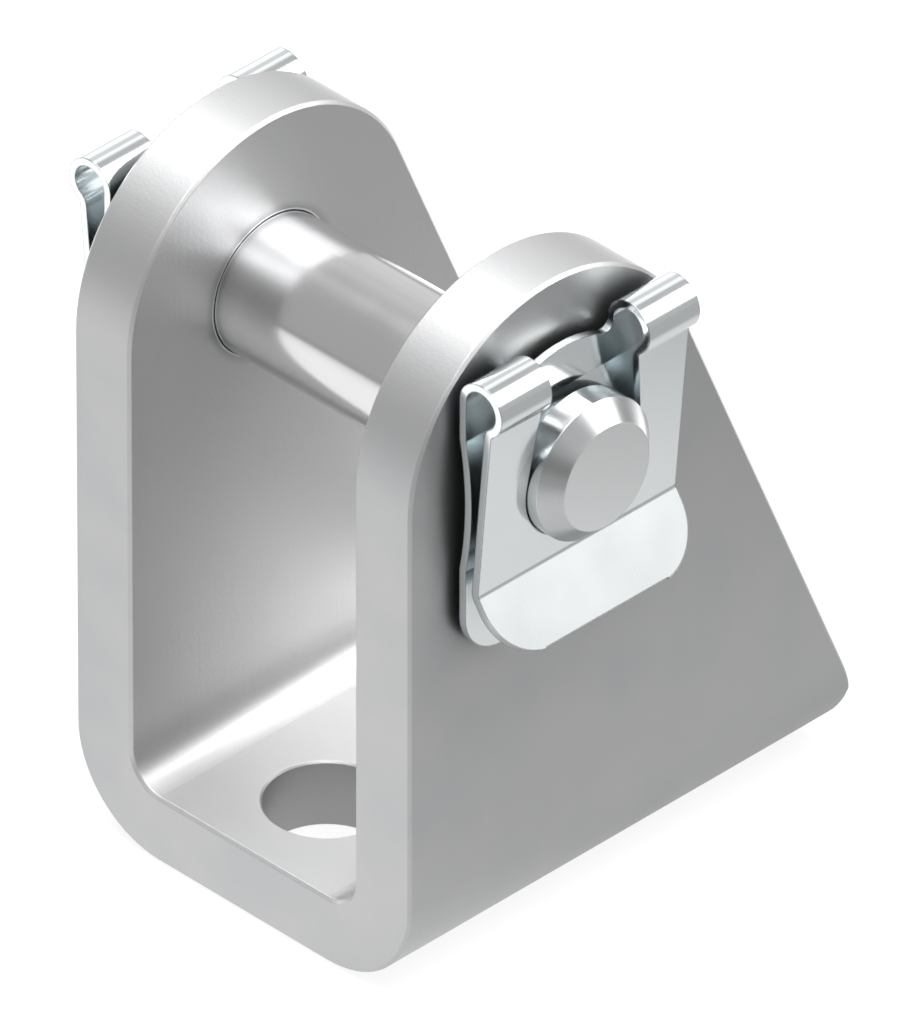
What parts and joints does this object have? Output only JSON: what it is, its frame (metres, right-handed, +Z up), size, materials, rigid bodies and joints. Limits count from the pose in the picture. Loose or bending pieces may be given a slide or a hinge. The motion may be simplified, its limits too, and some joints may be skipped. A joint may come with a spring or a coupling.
{
  "type": "cylinder clevis foot",
  "caption": "Folded steel clevis foot with two upright ears and a cross pin held by a folded spring clip at each end, for the rear lug of a small air cylinder.",
  "frame": {"origin": "middle of the foot's underside, on the surface that the foot is screwed to", "axes": "+X along the pin towards the right ear, +Y from the open front to the sloping back, +Z up from the mounting surface"},
  "size_m": [0.0321, 0.032, 0.04],
  "materials": {
    "zinc_plated_steel": "satin zinc plating over tumbled sheet",
    "turned_steel": "bright, finely turned",
    "spring_steel": "bright, smooth rolled strip"
  },
  "bodies": {
    "bracket": {"bracket": "zinc_plated_steel"},
    "pin": {"pin": "turned_steel"},
    "clip_right": {"clip_right": "spring_steel"},
    "clip_left": {"clip_left": "spring_steel"}
  },
  "joints": [
    {"name": "pin_spin", "type": "hinge", "parent": "bracket", "child": "pin", "pos_m": [0, -0.006, 0.03], "axis": [1, 0, 0], "continuous": true},
    {"name": "clip_right_spin", "type": "hinge", "parent": "pin", "child": "clip_right", "pos_m": [0.0129, -0.006, 0.03], "axis": [1, 0, 0], "continuous": true},
    {"name": "clip_left_spin", "type": "hinge", "parent": "pin", "child": "clip_left", "pos_m": [-0.0129, -0.006, 0.03], "axis": [1, 0, 0], "continuous": true}
  ]
}
